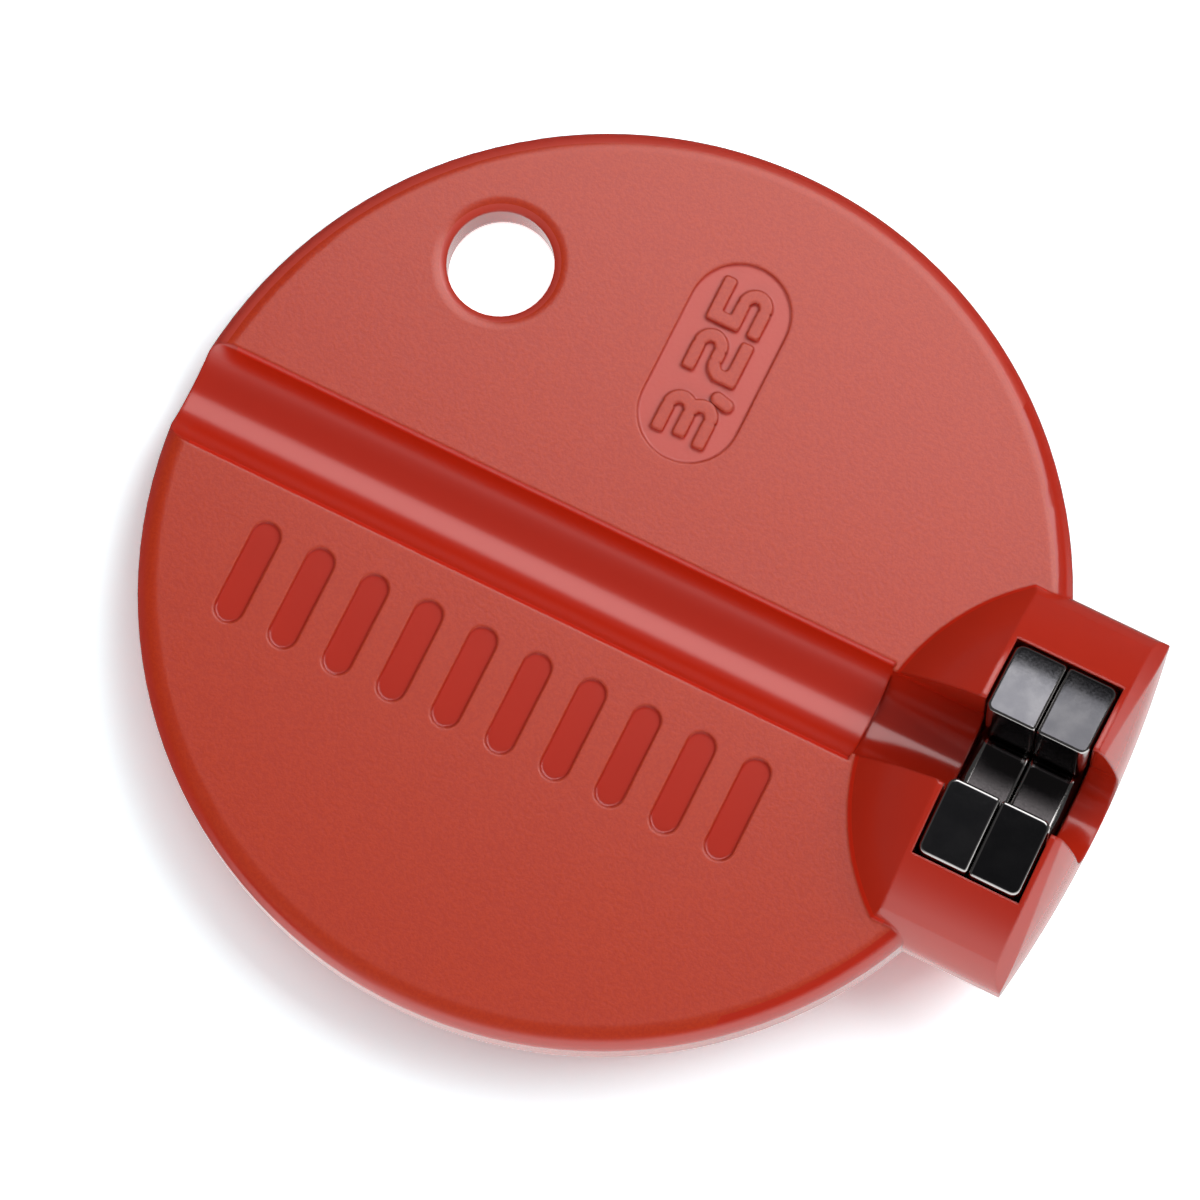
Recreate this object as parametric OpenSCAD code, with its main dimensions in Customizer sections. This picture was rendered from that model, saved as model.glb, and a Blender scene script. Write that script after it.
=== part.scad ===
// Pocket spoke wrench: a round moulded handle whose thick head carries two steel jaw plates.
// The shapes are drawn about the middle of the disc's front face: +X runs along the spoke
// trough to the head and +Z points away from the front face. The last lines then set the
// part down with its box centred over the origin and its lowest point at zero.

/* [Disc] */
// Diameter of the disc
disc_d = 42; // [40:0.5:46]
// Thickness between the two flat faces
disc_t = 3.8; // [3.6:0.1:4.4]
// Radius that rounds the rim at both faces
rim_round = 1; // [0.4:0.05:1.2]

/* [Hanging hole] */
// Diameter of the hole for a key ring or hook
hole_d = 4.9; // [3.5:0.1:6]
// Distance of the hole's middle from the rim
hole_inset = 5.5; // [5:0.1:7]
// Direction of the hole from the middle, in degrees from the head
hole_angle = 134; // [120:1:140]
// Width of the shallow dish round the hole's front edge
hole_dish_w = 0.65; // [0.3:0.05:0.7]
// Radius of that dish's curve
hole_dish_r = 1; // [0.8:0.1:1.4]
// Radius that rounds the hole's back edge
hole_back_round = 1.8; // [0.5:0.1:2]

/* [Spoke trough] */
// Width of the trough where it meets the front face
trough_w = 4.75; // [4:0.05:5.5]
// Depth of the trough below the front face
trough_depth = 1.7; // [1.2:0.05:2]
// Width of the fine bevel along the trough's two edges
trough_bevel = 0.1; // [0.05:0.01:0.2]

/* [Head] */
// Distance from the middle of the disc to the foot of the ramp
ramp_start = 13.35; // [12.5:0.05:14]
// Length of the domed ramp, from its foot to the crease
ramp_l = 4.27; // [3.8:0.01:4.8]
// Length of the barrel, from the crease to the end face
barrel_l = 6.98; // [6.9:0.02:8]
// Width of the head across its sides
head_w = 17.5; // [15:0.1:18]
// Radius that rounds the barrel into the head's sides
flank_round = 3.6; // [1.5:0.1:3.6]
// Height of the barrel's crest above the front face
crest_h = 4; // [3.5:0.05:5]
// Radius of the barrel's curve across the head
barrel_r = 11.2; // [10.6:0.05:12]
// Radius of the end face's swell across the head
end_swell_r = 55; // [45:5:200]
// Radius of the end face's bulge from front to back
end_bulge_r = 16; // [14:0.5:30]
// Width of the bevel between the barrel's crest and the end face
end_bevel = 0.17; // [0.1:0.01:0.3]
// Width of the channel that leads the spoke through the head
channel_w = 4.15; // [3.8:0.05:4.6]
// Depth of that channel below the front face
channel_depth = 2.3; // [2:0.05:2.8]
// Radius that rounds the channel's mouth along the barrel
mouth_round = 0.15; // [0.05:0.05:0.3]

/* [Jaw plates] */
// Width across flats that the jaw takes, with its play
slot_w = 3.3; // [3.2:0.05:3.7]
// Depth of the slot below the crest
slot_depth = 6.4; // [5.6:0.1:7]
// Steel left below the slot
web_h = 1.8; // [1.2:0.1:2.4]
// Width of a plate across both jaws
plate_w = 10.4; // [9.6:0.1:11.4]
// Thickness of one plate
plate_t = 2.45; // [2:0.05:2.6]
// Slit between the two plates
plate_slit = 0.05; // [0.02:0.01:0.1]
// Plastic wall between the crease and the first plate
inner_wall = 0.26; // [0.2:0.01:0.5]
// Play round the plates in their pocket
pocket_play = 0.12; // [0.05:0.01:0.2]
// Radius of the slot's two inner corners
slot_corner = 0.5; // [0.2:0.05:0.8]
// Radius that rounds the jaws towards the slot
jaw_round = 0.2; // [0.1:0.05:0.5]
// Radius of a plate's upright corners on its outer side
plate_corner = 0.45; // [0.2:0.05:0.6]

/* [Size figures] */
// Width of the strokes
stroke_w = 0.62; // [0.5:0.02:0.66]
// Space between the three levels of a figure
level_gap = 0.4; // [0.3:0.02:0.44]
// Width of a figure
figure_w = 2.2; // [2:0.05:2.3]
// Space between two figures
figure_gap = 0.27; // [0.2:0.01:0.4]
// Space for the decimal comma
comma_gap = 0.95; // [0.9:0.01:1.1]
// Height that the figures stand above their pad
figure_rise = 0.2; // [0.1:0.05:0.4]
// Length of the pad that the figures stand on
pad_l = 9.7; // [9.4:0.1:10.2]
// Width of the pad
pad_w = 4.7; // [4.4:0.1:5]
// Depth of the pad below the front face
pad_depth = 0.1; // [0.05:0.01:0.2]
// Distance of the pad's middle from the trough's middle
pad_reach = 11.2; // [10.5:0.1:11.5]

/* [Grip bars] */
// Number of sunk bars in the row
bar_count = 10; // [6:1:12]
// Width of a bar
bar_w = 1.35; // [0.8:0.05:1.8]
// Length of a bar
bar_l = 4.95; // [4:0.05:5.5]
// Distance from one bar to the next
bar_pitch = 2.72; // [2.2:0.02:2.8]
// Depth of a bar below the front face
bar_depth = 0.14; // [0.1:0.02:0.4]
// Place of the row's middle along the trough
bar_row_x = -2.3; // [-3:0.1:0]
// Distance of the row's middle from the trough's middle
bar_row_reach = 6.6; // [6:0.05:7.5]

/* [Hidden] */
$fn = 96;
over = 1;
join = 0.01;
handle_colour = "firebrick";
steel_colour = "dimgray";

disc_r = disc_d / 2;
hole_r = hole_d / 2;
mid_z = -disc_t / 2;

crease_x = ramp_start + ramp_l;
end_x = crease_x + barrel_l;
barrel_z = crest_h - barrel_r;
dome_x = (crease_x * crease_x + barrel_r * barrel_r - ramp_start * ramp_start
          - barrel_z * barrel_z) / (2 * ramp_l);
dome_r = sqrt(pow(crease_x - dome_x, 2) + barrel_r * barrel_r);

// Flank's section: centre height of its rounding, lapped over the barrel to cross it cleanly
flank_lap = 0.02;
flank_y = head_w / 2 - flank_round;
flank_z = max(mid_z, under_barrel(flank_y, flank_round) + flank_lap);
bevel_x = end_x - end_bevel - end_bulge_r + sqrt(pow(end_bulge_r, 2) - pow(crest_h - mid_z, 2));

trough_r = (trough_w * trough_w / 4 + trough_depth * trough_depth) / (2 * trough_depth);
trough_z = trough_r - trough_depth;

slot_floor = crest_h - slot_depth;
pocket_floor = slot_floor - web_h;
inner_plate_x = crease_x + inner_wall + pocket_play;
outer_plate_x = inner_plate_x + plate_t + plate_slit;
plates_end = outer_plate_x + plate_t;

pad_floor = -pad_depth;
level_pitch = stroke_w + level_gap;
figure_h = 3 * stroke_w + 2 * level_gap;
turn_r = stroke_w + level_gap / 2;
stroke_end_round = stroke_w / 4;
figures_w = 3 * figure_w + figure_gap + comma_gap;
comma_slant_shares = [-0.2, -0.85];
comma_place_share = 0.3;
comma_height_share = 0.75;

lowest = 2 * mid_z - crest_h;
centre_x = (end_x - disc_r) / 2;

// A circle's centre height when it touches the barrel's curve from inside at a given y
function under_barrel(y, r) = barrel_z + sqrt(pow(barrel_r - r, 2) - y * y);

// Corner piece left outside a quarter circle, to cut a square corner round
module spandrel(r) {
    difference() {
        translate([-over, -over]) square(r + over);
        translate([r, r]) circle(r);
    }
}

// A flat shape given as y and z, drawn out along x from one place to another
module along_x(from, to) {
    translate([from, 0, 0]) rotate([90, 0, 90]) linear_extrude(to - from) children();
}

module stadium(l, w) {
    square([l - w, w], center = true);
    for (side = [-1, 1]) translate([side * (l - w) / 2, 0]) circle(d = w);
}

// Disc with both rim edges rounded
module disc() {
    rotate_extrude($fn = 180) {
        difference() {
            translate([0, -disc_t]) square([disc_r, disc_t]);
            translate([disc_r, 0]) rotate(180) spandrel(rim_round);
            translate([disc_r, -disc_t]) rotate(90) spandrel(rim_round);
        }
    }
}

// Barrel round about x, whose end edge is bevelled by a slanted cone
module barrel_bound() {
    translate([0, 0, barrel_z]) rotate([0, 90, 0]) rotate_extrude($fn = 180)
        polygon([[0, 0], [barrel_r, 0], [barrel_r, bevel_x], [0, bevel_x + barrel_r]]);
}

module dome_bound() {
    translate([dome_x, 0, barrel_z]) sphere(dome_r, $fn = 180);
}

// The same shape mirrored to the back, about the middle of the disc's thickness
module at_back() {
    translate([0, 0, 2 * mid_z]) mirror([0, 0, 1]) children();
}

// Section of the head without its barrel: sides rounded at the front and the back
module flank_outline() {
    touch_y = flank_y * barrel_r / (barrel_r - flank_round);
    translate([0, mid_z]) {
        square([2 * touch_y, crest_h - lowest + 2 * over], center = true);
        square([head_w, 2 * (flank_z - mid_z)], center = true);
        for (side = [-1, 1]) for (up = [-1, 1])
            translate([side * flank_y, up * (flank_z - mid_z)]) circle(flank_round);
    }
}

// End face swollen across the head and bulging from front to back
module end_bound() {
    hub = end_swell_r - end_bulge_r;
    translate([end_x - end_swell_r, 0, mid_z]) rotate_extrude($fn = 360) {
        translate([0, -end_bulge_r]) square([hub, 2 * end_bulge_r]);
        intersection() {
            translate([hub, 0]) circle(end_bulge_r, $fn = 180);
            translate([hub, -end_bulge_r]) square([end_bulge_r, 2 * end_bulge_r]);
        }
    }
}

module head() {
    intersection() {
        along_x(ramp_start, end_x + over) flank_outline();
        end_bound();
        barrel_bound();
        at_back() barrel_bound();
        dome_bound();
        at_back() dome_bound();
    }
}

module trough_cut() {
    narrow = trough_w / 2 - trough_bevel;
    wide = trough_w / 2 + trough_bevel + over;
    along_x(-disc_r - over, ramp_start) {
        translate([0, trough_z]) circle(trough_r);
        polygon([[-wide, over], [-narrow, -2 * trough_bevel],
                 [narrow, -2 * trough_bevel], [wide, over]]);
    }
}

// Round-bottomed channel from the foot of the ramp through the end face
module channel_cut() {
    half = channel_w / 2;
    lip_z = under_barrel(half + mouth_round, mouth_round);
    along_x(ramp_start, end_x + over) {
        translate([0, half - channel_depth]) circle(half);
        translate([-half, half - channel_depth])
            square([channel_w, crest_h + channel_depth + over]);
    }
    along_x(crease_x, end_x + over) {
        difference() {
            translate([-half - mouth_round, lip_z])
                square([channel_w + 2 * mouth_round, crest_h + over]);
            for (side = [-1, 1])
                translate([side * (half + mouth_round), lip_z]) circle(mouth_round);
        }
    }
}

module pocket_cut() {
    translate([inner_plate_x - pocket_play, -plate_w / 2 - pocket_play, pocket_floor])
        cube([plates_end - inner_plate_x + 2 * pocket_play, plate_w + 2 * pocket_play,
              crest_h - pocket_floor + over]);
}

// Section of a hole's flared edge, with the wall at x zero and the face at y zero
module flare(w, r) {
    difference() {
        translate([-hole_r / 2, -over]) square([hole_r / 2 + w, r + over]);
        translate([w, r]) circle(r);
    }
}

// Hole with a shallow dish at the front face and a rounded edge at the back
module hanging_hole_cut() {
    rotate(hole_angle) translate([disc_r - hole_inset, 0, 0]) {
        translate([0, 0, -disc_t - over]) cylinder(r = hole_r, h = disc_t + 2 * over);
        rotate_extrude() {
            translate([hole_r, 0]) mirror([0, 1]) flare(hole_dish_w, hole_dish_r);
            translate([hole_r, -disc_t]) flare(hole_back_round, hole_back_round);
        }
    }
}

module pad_cut() {
    translate([0, pad_reach, pad_floor]) rotate(90)
        linear_extrude(over) stadium(pad_l, pad_w);
}

module grip_bar_cuts() {
    for (i = [0 : bar_count - 1])
        translate([bar_row_x + (i - (bar_count - 1) / 2) * bar_pitch, -bar_row_reach,
                   -bar_depth])
            rotate(90) linear_extrude(over) stadium(bar_l, bar_w);
}

// Level stroke of a figure between two places; level 0 is at the foot and 2 at the top
module level_stroke(level, from, to) {
    r = stroke_end_round;
    translate([from, level * level_pitch]) {
        translate([r, 0]) square([to - from - 2 * r, stroke_w]);
        translate([0, r]) square([to - from, stroke_w - 2 * r]);
        for (x = [r, to - from - r]) for (y = [r, stroke_w - r])
            translate([x, y]) circle(r, $fn = 32);
    }
}

// Half ring that joins a level to the next one up, on the right or the left of a figure
module turn(level, right = true) {
    translate([right ? figure_w - turn_r : turn_r, level * level_pitch + turn_r])
        difference() {
            circle(turn_r);
            circle(level_gap / 2);
            translate([right ? -2 * turn_r : 0, -turn_r]) square(2 * turn_r);
        }
}

module figure_three() {
    for (level = [0, 2]) level_stroke(level, 0, figure_w - turn_r + join);
    level_stroke(1, stroke_end_round, figure_w - turn_r + join);
    turn(0);
    turn(1);
}

module figure_two() {
    level_stroke(2, 0, figure_w - turn_r + join);
    level_stroke(1, turn_r - join, figure_w - turn_r + join);
    level_stroke(0, 0, figure_w);
    turn(1);
    turn(0, right = false);
    translate([0, stroke_w / 2]) square([stroke_w, turn_r]);
}

module figure_five() {
    level_stroke(2, 0, figure_w);
    for (level = [0, 1]) level_stroke(level, 0, figure_w - turn_r + join);
    turn(0);
    translate([0, level_pitch + stroke_w / 2]) square([stroke_w, level_pitch]);
}

// Comma as one slanted stroke with round ends, starting at the origin
module comma() {
    slant = [for (share = comma_slant_shares) share * stroke_w];
    rotate(atan2(slant[1], slant[0])) {
        translate([0, -stroke_w / 2]) square([norm(slant), stroke_w]);
        for (x = [0, norm(slant)]) translate([x, 0]) circle(d = stroke_w, $fn = 32);
    }
}

// The nipple size in millimetres, read with its top towards the far rim
module size_figures() {
    comma_x = figure_w + comma_gap * comma_place_share;
    two_x = figure_w + comma_gap;
    translate([0, pad_reach, pad_floor - over / 2]) rotate(90)
        linear_extrude(over / 2 + figure_rise) translate([-figures_w / 2, -figure_h / 2]) {
            figure_three();
            translate([comma_x, stroke_w * comma_height_share]) comma();
            translate([two_x, 0]) figure_two();
            translate([two_x + figure_w + figure_gap, 0]) figure_five();
        }
}

module handle_shape() {
    difference() {
        union() {
            disc();
            head();
        }
        trough_cut();
        channel_cut();
        pocket_cut();
        hanging_hole_cut();
        pad_cut();
        grip_bar_cuts();
    }
    size_figures();
}

// Outline of a plate seen along x: a square-cornered U whose top follows the barrel
module plate_outline() {
    half = slot_w / 2;
    lip_y = half + jaw_round;
    lip_z = under_barrel(lip_y, jaw_round);
    difference() {
        intersection() {
            translate([0, barrel_z]) circle(barrel_r, $fn = 180);
            translate([-plate_w / 2, pocket_floor])
                square([plate_w, crest_h - pocket_floor]);
        }
        translate([-half, slot_floor + slot_corner]) square([slot_w, slot_depth]);
        translate([-half + slot_corner, slot_floor])
            square([slot_w - 2 * slot_corner, slot_depth]);
        for (side = [-1, 1])
            translate([side * (half - slot_corner), slot_floor + slot_corner])
                circle(slot_corner, $fn = 48);
        difference() {
            translate([-lip_y, lip_z]) square([2 * lip_y, crest_h]);
            for (side = [-1, 1])
                translate([side * lip_y, lip_z]) circle(jaw_round, $fn = 48);
        }
    }
}

// One U-shaped plate with its outer side at x zero
module jaw_plate() {
    difference() {
        along_x(0, plate_t) plate_outline();
        for (side = [0, 1]) mirror([0, side, 0]) {
            for (y = [-plate_w / 2, slot_w / 2])
                translate([0, y, y < 0 ? pocket_floor - over : slot_floor + slot_corner])
                    linear_extrude(slot_depth + web_h + 2 * over) spandrel(plate_corner);
        }
    }
}

module handle() {
    color(handle_colour) handle_shape();
}

module inner_jaw_plate() {
    color(steel_colour) translate([inner_plate_x, 0, 0]) jaw_plate();
}

module outer_jaw_plate() {
    color(steel_colour) translate([plates_end, 0, 0]) mirror([1, 0, 0]) jaw_plate();
}

module set_down() {
    translate([-centre_x, 0, -lowest]) children();
}

set_down() handle();
set_down() inner_jaw_plate();
set_down() outer_jaw_plate();
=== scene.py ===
import bmesh, bpy, math
from mathutils import Matrix, Vector


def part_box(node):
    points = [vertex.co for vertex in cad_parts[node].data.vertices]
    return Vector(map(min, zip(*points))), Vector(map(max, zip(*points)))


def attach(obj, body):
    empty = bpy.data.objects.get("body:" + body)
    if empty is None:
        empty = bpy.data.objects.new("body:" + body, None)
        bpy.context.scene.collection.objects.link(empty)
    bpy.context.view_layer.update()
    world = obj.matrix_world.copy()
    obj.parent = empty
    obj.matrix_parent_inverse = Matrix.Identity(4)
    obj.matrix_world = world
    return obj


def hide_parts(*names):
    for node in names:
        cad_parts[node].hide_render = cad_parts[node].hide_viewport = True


mm = 0.001

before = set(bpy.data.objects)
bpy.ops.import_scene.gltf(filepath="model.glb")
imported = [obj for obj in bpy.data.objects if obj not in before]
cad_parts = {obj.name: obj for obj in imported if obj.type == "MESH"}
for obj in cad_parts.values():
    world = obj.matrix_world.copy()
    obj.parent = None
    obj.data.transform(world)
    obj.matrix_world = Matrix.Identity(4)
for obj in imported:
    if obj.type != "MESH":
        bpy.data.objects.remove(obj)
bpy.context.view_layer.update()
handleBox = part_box("handle")

# sizes and places that the wrench's pieces share, in the frame's own metres
wrench = {
    "discRadius": 21 * mm,
    "discThick": 3.8 * mm,
    "rimRound": 1.0 * mm,
    "holeInset": 5.5 * mm,       # from the rim to the hole's middle,
    "holeAngle": 134,            # in this direction, in degrees from the head
    "rampStart": 13.35 * mm,     # from the disc's middle to the ramp's foot,
    "crease": 17.62 * mm,        # and to the line where the barrel begins
    "crestHeight": 4 * mm,       # barrel's crest above the front face
    "barrelRadius": 11.2 * mm,
    "slotWidth": 3.3 * mm,
    "slotDepth": 6.4 * mm,
}
discX = handleBox[0].x + wrench["discRadius"]
backZ = handleBox[0].z + wrench["crestHeight"]
faceZ = backZ + wrench["discThick"]
barrelZ = faceZ + wrench["crestHeight"] - wrench["barrelRadius"]
crestZ = barrelZ + wrench["barrelRadius"]
faceCentre = Vector((discX, 0, faceZ))

holeTurn = math.radians(wrench["holeAngle"])
holeRun = wrench["discRadius"] - wrench["holeInset"]
holeX = discX + holeRun * math.cos(holeTurn)
holeY = holeRun * math.sin(holeTurn)


# camera: a long lens almost straight over the disc, tipped towards the picture's foot
shot = {
    "distance": 300 * mm,
    "pixelsPerMm": 22.37,        # in the 1200 pixel frame, at the disc's face
    "framePixels": 1200,
    "tip": 11.55,                # degrees about the picture's level line
    "swing": 2.05,               # degrees about its upright line
    "turn": 26.07,               # degrees that the trough runs below level
    "slide": (0.154 * mm, 0.8 * mm),
    "sensor": 36,
    "clip": (0.01, 20),
}


def makeCamera():
    data = bpy.data.cameras.new("camera")
    camera = bpy.data.objects.new("camera", data)
    bpy.context.scene.collection.objects.link(camera)
    turned = (Matrix.Rotation(math.radians(shot["turn"]), 3, "Z")
              @ Matrix.Rotation(math.radians(shot["tip"]), 3, "X")
              @ Matrix.Rotation(math.radians(shot["swing"]), 3, "Y"))
    away = Vector((-shot["slide"][0], -shot["slide"][1], shot["distance"]))
    camera.matrix_world = Matrix.Translation(faceCentre + turned @ away) @ turned.to_4x4()
    data.sensor_width = shot["sensor"]
    focalPixels = shot["pixelsPerMm"] * shot["distance"] / mm
    data.lens = focalPixels * shot["sensor"] / shot["framePixels"]
    data.clip_start, data.clip_end = shot["clip"]
    bpy.context.scene.camera = camera


makeCamera()
print("camera set")


def plug(spot, value):
    if isinstance(value, Sock):
        value.tree.links.new(value.socket, spot)
    else:
        spot.default_value = value


# shader maths on sockets, written as plain sums
class Sock:
    def __init__(self, tree, socket):
        self.tree = tree
        self.socket = socket

    def node(self, kind, settings=None, **values):
        made = self.tree.nodes.new(kind)
        for name, value in (settings or {}).items():
            setattr(made, name, value)
        for name, value in values.items():
            numbered = name.startswith("in") and name[2:].isdigit()
            plug(made.inputs[int(name[2:]) if numbered else name.replace("_", " ")], value)
        return made

    def out(self, made, name=0):
        return Sock(self.tree, made.outputs[name])

    def maths(self, operation, *others):
        values = {"in%d" % i: other for i, other in enumerate((self,) + others)}
        return self.out(self.node("ShaderNodeMath", {"operation": operation}, **values))

    def __add__(self, other):
        return self.maths("ADD", other)

    def __sub__(self, other):
        return self.maths("SUBTRACT", other)

    def __rsub__(self, other):
        return self.maths("MULTIPLY", -1.0).maths("ADD", other)

    def __mul__(self, other):
        return self.maths("MULTIPLY", other)

    def __truediv__(self, other):
        return self.maths("DIVIDE", other)

    def __pow__(self, other):
        return self.maths("POWER", other)

    def __gt__(self, other):
        return self.maths("GREATER_THAN", other)

    def __lt__(self, other):
        return self.maths("LESS_THAN", other)

    def either(self, other):
        return self.maths("MAXIMUM", other)

    def between(self, low, high):
        return (self > low) * (self < high)

    def ramp(self, low, high, toLow=0.0, toHigh=1.0):
        made = self.node("ShaderNodeMapRange", {"interpolation_type": "SMOOTHSTEP"},
                         in0=self, in1=low, in2=high, in3=toLow, in4=toHigh)
        return self.out(made)

    def parts(self):
        made = self.node("ShaderNodeSeparateXYZ", in0=self)
        return [self.out(made, i) for i in range(3)]

    def noise(self, size, detail, rough):
        made = self.node("ShaderNodeTexNoise", Vector=self, Scale=1 / size, Detail=detail,
                         Roughness=rough)
        return self.out(made, "Fac")

    def mixColour(self, a, b):
        made = self.node("ShaderNodeMix", {"data_type": "RGBA"}, in0=self, in6=a, in7=b)
        return self.out(made, 2)


def distanceFrom(x, y, middleX, middleY):
    return ((x - middleX) ** 2.0 + (y - middleY) ** 2.0) ** 0.5


def newMaterial(name):
    material = bpy.data.materials.new(name)
    material.use_nodes = True
    tree = material.node_tree
    start = Sock(tree, None)
    place = start.out(start.node("ShaderNodeTexCoord"), "Object")
    return material, tree.nodes["Principled BSDF"], place


def setInputs(shader, **values):
    for name, value in values.items():
        plug(shader.inputs[name.replace("_", " ")], value)


# red moulding: a fine spark-eroded texture on the front face, a satin trough, and polish on the
# head, the rim and the sunk bars. The trough and the small walls of the figures and bars take
# lighter reds as painted light that lifts their shade, and the pad under the figures a pinker red
# as a painted sheen. Each noise is given as its size, detail and roughness
plastic = {
    "red": (0.425, 0.0190, 0.0065, 1),
    "redDeep": (0.410, 0.0175, 0.0060, 1),
    "redTextured": (0.445, 0.0290, 0.0030, 1),
    "redTexturedDeep": (0.400, 0.0230, 0.0030, 1),
    # painted light: lighter reds that lift the shade in the trough and on the small walls, and a
    # pinker red that paints a sheen on the pad
    "redTrough": (0.455, 0.0160, 0.0030, 1),
    "redWall": (0.550, 0.0180, 0.0050, 1),
    "redPad": (0.480, 0.0460, 0.0290, 1),
    "matteRough": 0.27,
    "troughRough": 0.23,
    "polishRough": 0.15,
    "levelUp": 0.97,             # least upward part of the normal on a level face,
    "roundUp": (0.65, 0.95),     # and between these the texture fades out over a rounded edge
    "faceBand": 0.13 * mm,       # off the face's level, either way, that is still textured
    "wallBand": 0.25 * mm,       # and that holds the walls of the figures and the bars
    "padDepth": 0.06 * mm,       # below the face, where the pad under the figures begins
    "rimStart": 19.8 * mm,
    "holeReach": 3.3 * mm,
    "troughHalf": 2.3 * mm,
    "troughDepths": (0.2 * mm, 2.8 * mm),
    "troughUp": 0.05,
    "grain": (0.18 * mm, 3.0, 0.6),
    "fineGrain": (0.08 * mm, 2.0, 0.5),
    "cloud": (6.25 * mm, 3.0, 0.5),
    "heightShares": (0.7, 0.3, 0.05),          # of the grain, the fine grain and the cloud
    "toneShares": (0.6, 0.4),
    "toneSpread": (0.4, 0.6),
    "cloudSpread": (0.35, 0.65),
    "grainHeight": 0.008 * mm,
    "edgeSoft": 0.2 * mm,
    "edgeSamples": 6,
    "refraction": 1.5,
}


def makePlastic():
    p = plastic
    material, shader, place = newMaterial("red_moulding")
    x, y, z = place.parts()
    up = place.out(place.node("ShaderNodeNewGeometry"), "Normal").parts()[2]
    radius = distanceFrom(x, y, discX, 0.0)
    holeAway = distanceFrom(x, y, holeX, holeY)
    onDisc = x < discX + wrench["rampStart"]

    # where the texture lies: the level face, and the rounded edges of the rim and the hole
    level = z.between(faceZ - p["faceBand"], faceZ + p["faceBand"]) * (up > p["levelUp"])
    rounded = up.ramp(*p["roundUp"]) * (z > faceZ - wrench["rimRound"])
    edge = (radius > p["rimStart"]).either(holeAway < p["holeReach"])
    matte = level.either(rounded * edge * onDisc)

    nearest, deepest = p["troughDepths"]
    # painted light: the trough takes a lighter red that lifts the shade it gets as a channel
    trough = z.between(faceZ - deepest, faceZ - nearest) * onDisc * (
        y.maths("ABSOLUTE") < p["troughHalf"]) * (up > p["troughUp"])
    # painted light: the small walls of the figures and bars take a lighter red that lifts their
    # shade
    paintedLightWalls = z.between(faceZ - p["wallBand"], faceZ + p["wallBand"]) * (up < p["levelUp"]) * (
        radius < p["rimStart"]) * (holeAway > p["holeReach"])
    # painted sheen: the pad under the figures takes a pinker red that stands in for a sheen
    paintedSheenPad = (z < faceZ - p["padDepth"]) * (y > 0.0)

    coarse, fine, cloud = (place.noise(*p[grain]) for grain in ("grain", "fineGrain", "cloud"))
    coarseShare, fineShare, cloudShare = p["heightShares"]
    height = (coarse * coarseShare + fine * fineShare) * matte + cloud * cloudShare
    soft = place.out(place.node("ShaderNodeBevel", {"samples": p["edgeSamples"]},
                                Radius=p["edgeSoft"]))
    bump = place.node("ShaderNodeBump", Strength=1.0, Distance=p["grainHeight"], Height=height,
                      Normal=soft)

    clouded = cloud.ramp(*p["cloudSpread"]).mixColour(p["red"], p["redDeep"])
    polished = paintedLightWalls.mixColour(trough.mixColour(clouded, p["redTrough"]), p["redWall"])
    mottle = (coarse * p["toneShares"][0] + fine * p["toneShares"][1]).ramp(*p["toneSpread"])
    textured = mottle.mixColour(p["redTexturedDeep"], p["redTextured"])
    tone = matte.mixColour(polished, paintedSheenPad.mixColour(textured, p["redPad"]))
    rough = (matte * (p["matteRough"] - p["polishRough"])
             + trough * (p["troughRough"] - p["polishRough"]) + p["polishRough"])
    setInputs(shader, Base_Color=tone, IOR=p["refraction"], Roughness=rough,
              Normal=place.out(bump))
    return material


# blackened steel: a tumbled sheen on the tops, painted shade that turns it black down in the
# slot, worn bright along the rims
steel = {
    "dark": (0.105, 0.103, 0.110, 1),
    "darker": (0.080, 0.079, 0.087, 1),
    "deep": (0.042, 0.038, 0.039, 1),
    "bright": (0.30, 0.29, 0.285, 1),
    "innerShade": 1.0,           # share of the dark tones that each plate keeps; the outer plate's lower share is painted shade on its tops
    "outerShade": 0.65,
    "rough": (0.12, 0.23),
    "wornSmoother": 0.02,
    "slotShadeDepths": (0.9 * mm, 1.9 * mm),       # below the crest, where the painted shade in the slot grows full
    "grain": (0.12 * mm, 3.0, 0.55),
    "patch": (1.1111 * mm, 2.0, 0.5),
    "grainSpread": (0.2, 0.8),
    "patchSpread": (0.3, 0.7),
    "wornSpread": (0.35, 0.65),
    "wornPatchy": 0.5,
    "grainHeight": 0.0012 * mm,
}


def makeSteel(name, shade):
    s = steel
    material, shader, place = newMaterial(name)
    dark, darker = ([v * shade for v in s[tone][:3]] + [1] for tone in ("dark", "darker"))
    z = place.parts()[2]
    grain = place.noise(*s["grain"])
    patch = place.noise(*s["patch"])
    rim = place.out(place.node("ShaderNodeAttribute", {"attribute_name": "worn"}), "Fac")
    worn = (rim + (patch - 0.5) * s["wornPatchy"]).ramp(*s["wornSpread"])
    # painted shade: the steel turns black further down the slot
    deep = (crestZ - z).ramp(*s["slotShadeDepths"])
    tone = deep.mixColour(patch.ramp(*s["patchSpread"]).mixColour(dark, darker), s["deep"])
    bump = place.node("ShaderNodeBump", Strength=1.0, Distance=s["grainHeight"], Height=grain)
    rough = grain.ramp(*s["grainSpread"], *s["rough"])
    setInputs(shader, Metallic=1.0,
              Base_Color=worn.mixColour(tone, s["bright"]),
              Roughness=rough - worn * s["wornSmoother"],
              Normal=place.out(bump))
    return material


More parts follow.
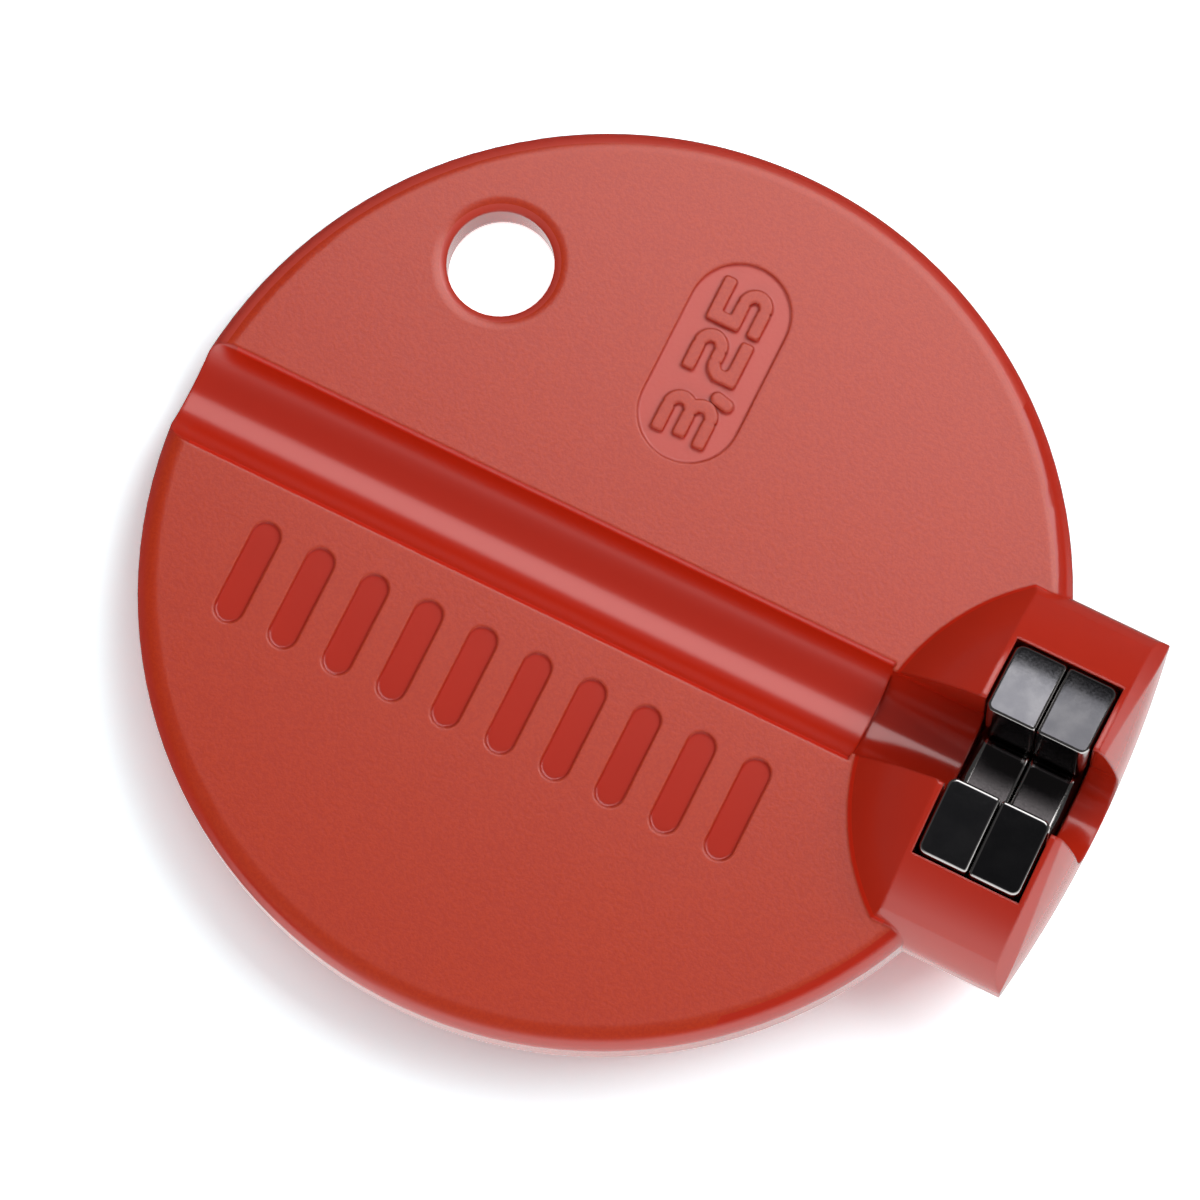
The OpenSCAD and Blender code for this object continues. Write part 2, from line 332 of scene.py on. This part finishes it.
# jaw plates: U-shaped stampings whose corners and edges are tumbled round
plate = {
    "floorRound": 0.5 * mm,
    "outerCorner": 0.42 * mm,
    "slitCorner": 0.18 * mm,
    "rimRound": 0.3 * mm,
    "facets": {"floorRound": 5, "outerCorner": 5, "slitCorner": 3, "rimRound": 4},
    "blankDepth": 1.5 * mm,      # below the crest, where the tops start out level
    "crown": 0.03 * mm,          # that the tops fall towards each plate's broad sides
    "sunk": 0.01 * mm,           # that the tops lie below the barrel
    "topStrips": 12,
    "topRows": 6,
    "squareOn": 0.985,           # least cosine at which a face still counts as flat
    "floorTurn": 0.1,            # what turns less than this along the trough,
    "floorZone": 1 * mm,         # and lies this near the slot's floor, never wears
    "sharpAngle": 38,
    "touch": 1e-7,               # metres apart that still count as touching,
    "cutTouch": 1e-8,            # and the same for a slice
}
slotHalf = wrench["slotWidth"] / 2
slotFloor = crestZ - wrench["slotDepth"]
blankTop = crestZ - plate["blankDepth"]


# height of the barrel's surface over its axis
def barrelHeight(y):
    return math.sqrt(wrench["barrelRadius"] ** 2 - y ** 2)


def liesAt(edge, axis, at):
    return all(abs(v.co[axis] - at) < plate["touch"] for v in edge.verts)


def bevelEdges(bm, edges, name):
    bmesh.ops.bevel(bm, geom=edges, offset=plate[name], offset_type="OFFSET",
                    segments=plate["facets"][name], profile=0.5, affect="EDGES",
                    clamp_overlap=True, material=-1)


def makeBlank(bm, low, high, outerSide):
    outline = [(low.y, low.z), (high.y, low.z), (high.y, blankTop), (slotHalf, blankTop),
               (slotHalf, slotFloor), (-slotHalf, slotFloor), (-slotHalf, blankTop),
               (low.y, blankTop)]
    side = bm.faces.new([bm.verts.new((low.x, y, z)) for y, z in outline])
    grown = bmesh.ops.extrude_face_region(bm, geom=[side])["geom"]
    bmesh.ops.translate(bm, verts=[v for v in grown if isinstance(v, bmesh.types.BMVert)],
                        vec=(high.x - low.x, 0, 0))
    bmesh.ops.recalc_face_normals(bm, faces=bm.faces)

    # round the slot's floor, the corners round each broad side, then the tops' rims
    bevelEdges(bm, [e for e in bm.edges if liesAt(e, 2, slotFloor)
                    and not liesAt(e, 0, low.x) and not liesAt(e, 0, high.x)], "floorRound")
    outerX, slitX = (high.x, low.x) if outerSide > 0 else (low.x, high.x)
    for at, corner in ((outerX, "outerCorner"), (slitX, "slitCorner")):
        bevelEdges(bm, [e for e in bm.edges if liesAt(e, 0, at) and not liesAt(e, 2, blankTop)],
                   corner)
    bevelEdges(bm, [e for e in bm.edges if liesAt(e, 2, blankTop)], "rimRound")


def cutAcross(bm, at, normal):
    bmesh.ops.bisect_plane(bm, geom=bm.verts[:] + bm.edges[:] + bm.faces[:],
                           dist=plate["cutTouch"], plane_co=at, plane_no=normal)


# slice the tops, lift them on to the barrel's curve and crown them slightly
def shapeTops(bm, low, high):
    middle = (low.x + high.x) / 2
    for i in range(1, plate["topStrips"]):
        y = slotHalf + (high.y - slotHalf) * i / plate["topStrips"]
        for side in (y, -y):
            cutAcross(bm, (0, side, 0), (0, 1, 0))
    for i in range(1, plate["topRows"]):
        cutAcross(bm, (low.x + (high.x - low.x) * i / plate["topRows"], 0, 0), (1, 0, 0))
    for v in bm.verts:
        if v.co.z > blankTop - plate["rimRound"] - plate["touch"]:
            fall = plate["sunk"] + plate["crown"] * ((v.co.x - middle) / (high.x - middle)) ** 2
            v.co.z += barrelZ + barrelHeight(v.co.y) - fall - blankTop


# mark the rounded rims, where the black has worn off
def markWorn(bm):
    worn = bm.verts.layers.float.new("worn")
    bm.normal_update()
    for v in bm.verts:
        alongTop = v.normal.dot(Vector((0, v.co.y, barrelHeight(v.co.y))))
        squareOn = max(alongTop / wrench["barrelRadius"], *(abs(n) for n in v.normal))
        inFloor = (abs(v.normal.x) < plate["floorTurn"]
                   and v.co.z < slotFloor + plate["floorZone"])
        v[worn] = 0.0 if squareOn > plate["squareOn"] or inFloor else 1.0


def makeJawPlate(node, outerSide, material):
    low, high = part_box(node)
    bm = bmesh.new()
    makeBlank(bm, low, high, outerSide)
    shapeTops(bm, low, high)
    markWorn(bm)
    for f in bm.faces:
        f.smooth = True
    mesh = bpy.data.meshes.new(node + "_tumbled")
    bm.to_mesh(mesh)
    bm.free()
    mesh.set_sharp_from_angle(angle=math.radians(plate["sharpAngle"]))
    piece = bpy.data.objects.new(node + "_tumbled", mesh)
    bpy.context.scene.collection.objects.link(piece)
    mesh.materials.append(material)
    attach(piece, "root")
    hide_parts(node)
    print(node, "modelled,", len(mesh.polygons), "faces")
    return piece


redMoulding = makePlastic()
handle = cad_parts["handle"]
handle.data.materials.clear()
handle.data.materials.append(redMoulding)
print("handle finished")

innerSteel = makeSteel("blackened_steel_inner", steel["innerShade"])
innerPlate = makeJawPlate("inner_jaw_plate", -1, innerSteel)
outerSteel = makeSteel("blackened_steel_outer", steel["outerShade"])
outerPlate = makeJawPlate("outer_jaw_plate", 1, outerSteel)


# pale table that the wrench lies on, touching the head's back and the far rim: a white sweep,
# overexposed so that only close shadows show on it, with a painted pool of light under the hole
table = {
    "size": 3.0,
    "colour": (1.66, 1.92, 1.98, 1),
    "spotAside": (-1.033 * mm, 0.05 * mm),     # from the hole to a painted pool of light, an emission that stands in for light coming up through it, set aside as the camera looks in on a slant
    "spotRadius": 3.9 * mm,                    # it, as the camera looks in on a slant
    "spotCore": 0.8,                           # share of that radius where the painted light is full
    "spotGlow": 0.75,
}


def makeTableTop():
    t = table
    material, shader, place = newMaterial("pale_table")
    tree = material.node_tree
    x, y = place.parts()[:2]
    away = distanceFrom(x, y, holeX + t["spotAside"][0], holeY + t["spotAside"][1])
    # painted pool of light: the table glows round a spot under the hole, where no lamp is
    glow = away.ramp(t["spotRadius"], t["spotRadius"] * t["spotCore"]) * t["spotGlow"]
    white = place.node("ShaderNodeBsdfDiffuse", Color=t["colour"])
    spot = place.node("ShaderNodeEmission", Strength=glow)
    both = place.node("ShaderNodeAddShader", in0=place.out(white), in1=place.out(spot))
    tree.links.new(both.outputs[0], tree.nodes["Material Output"].inputs["Surface"])
    tree.nodes.remove(shader)
    return material


def makeTable():
    bulge = Vector((discX + wrench["crease"], handleBox[0].z))
    rim = Vector((discX - wrench["discRadius"] + wrench["rimRound"],
                  backZ + wrench["rimRound"]))
    run = rim - bulge
    tilt = math.atan2(run.y, -run.x) - math.asin(wrench["rimRound"] / run.length)
    bm = bmesh.new()
    bmesh.ops.create_grid(bm, x_segments=1, y_segments=1, size=table["size"] / 2)
    lie = Matrix.Translation((bulge.x, 0, bulge.y)) @ Matrix.Rotation(tilt, 4, "Y")
    bmesh.ops.transform(bm, matrix=lie, verts=bm.verts)
    mesh = bpy.data.meshes.new("table")
    bm.to_mesh(mesh)
    bm.free()
    top = bpy.data.objects.new("table", mesh)
    bpy.context.scene.collection.objects.link(top)
    mesh.materials.append(makeTableTop())
    top.visible_glossy = False
    print("table tilted", round(math.degrees(tilt), 2), "degrees")


makeTable()


# lights: a softbox beyond the trough that the surfaces mirror, and three panels that only shade:
# a broad key from the far right, one overhead, and one in front that lights the wrench alone.
# Angles are degrees from straight up, along the trough and across it
studio = {
    "softbox": {"distance": 0.26, "along": 5, "across": 33, "size": (0.24, 0.21),
                "radiance": 3.95, "mirrored": True},
    "key": {"distance": 0.5, "along": 33, "across": 38, "size": (0.44, 0.4),
            "radiance": 3.45, "mirrored": False},
    "overhead": {"distance": 0.5, "along": 0, "across": -8, "size": (0.7, 0.7),
                 "radiance": 0.62, "mirrored": False},
    "front": {"distance": 0.5, "along": -10, "across": -62, "size": (0.5, 0.3),
              "radiance": 2.1, "mirrored": False, "wrenchOnly": True},
}

# surroundings: what the camera sees behind the table, an even tent for the shading, and, for the
# surfaces that mirror, a dim room with a white sweep to the front and the right. Heights are
# sines, each pair from where a glow ends to where it is full
room = {
    "backdrop": 0.95,
    "tent": 0.2,
    "dim": 0.12,
    "sweep": 2.6,
    "sweepHeights": (0.62, 0.08),
    "frontWay": (0.6, -0.8),
    "frontSpread": (0.45, 0.85),
    "rightWay": (0.7, -0.7),
    "rightSpread": (-0.1, 0.5),
    "steepHeights": (-0.85, -0.97),
    "belowHeights": (-1.1, -0.15),
    "belowGlows": (0.3, 0.9),
    "horizon": (0.08, -0.08),
    "leastRun": 0.001,           # keeps the level directions defined straight up and down
}

wrenchPieces = bpy.data.collections.new("wrench_pieces")
for piece in (handle, innerPlate, outerPlate):
    wrenchPieces.objects.link(piece)


def addLight(name):
    k = studio[name]
    towards = Vector((math.tan(math.radians(k["along"])), math.tan(math.radians(k["across"])),
                      1)).normalized()
    side = (Vector((1, 0, 0)) - towards * towards.x).normalized()
    turned = Matrix((side, towards.cross(side), towards)).transposed().to_4x4()
    data = bpy.data.lights.new(name, "AREA")
    data.shape = "RECTANGLE"
    data.size, data.size_y = k["size"]
    data.energy = k["radiance"] * math.pi * data.size * data.size_y
    lamp = bpy.data.objects.new(name, data)
    lamp.matrix_world = Matrix.Translation(faceCentre + towards * k["distance"]) @ turned
    lamp.visible_glossy = k["mirrored"]
    lamp.visible_diffuse = not k["mirrored"]
    lamp.visible_camera = False
    if k.get("wrenchOnly"):
        lamp.light_linking.receiver_collection = wrenchPieces
    bpy.context.scene.collection.objects.link(lamp)


def makeWorld():
    r = room
    world = bpy.data.worlds.new("studio")
    bpy.context.scene.world = world
    world.use_nodes = True
    tree = world.node_tree
    start = Sock(tree, None)
    x, y, z = start.out(start.node("ShaderNodeTexCoord"), "Generated").parts()
    run = (x ** 2.0 + y ** 2.0 + r["leastRun"]) ** 0.5

    def facing(way, spread):
        return ((x * way[0] + y * way[1]) / run).ramp(*spread)

    above = z.ramp(*r["sweepHeights"]) * facing(r["frontWay"], r["frontSpread"])
    right = facing(r["rightWay"], r["rightSpread"])
    lit = right + (1 - right) * z.ramp(*r["steepHeights"])
    below = z.ramp(*r["belowHeights"], *r["belowGlows"]) * lit
    mirrored = z.ramp(*r["horizon"], above, below) * r["sweep"] + r["dim"]
    path = start.node("ShaderNodeLightPath")
    seen = start.out(path, "Is Camera Ray")
    glossy = start.out(path, "Is Glossy Ray")
    unseen = glossy * mirrored + (1 - glossy) * r["tent"]
    glow = seen * r["backdrop"] + (1 - seen) * unseen
    setInputs(tree.nodes["Background"], Color=(1, 1, 1, 1), Strength=glow)


for name in studio:
    addLight(name)
makeWorld()
bpy.context.scene.view_settings.view_transform = "Standard"
print("light set")
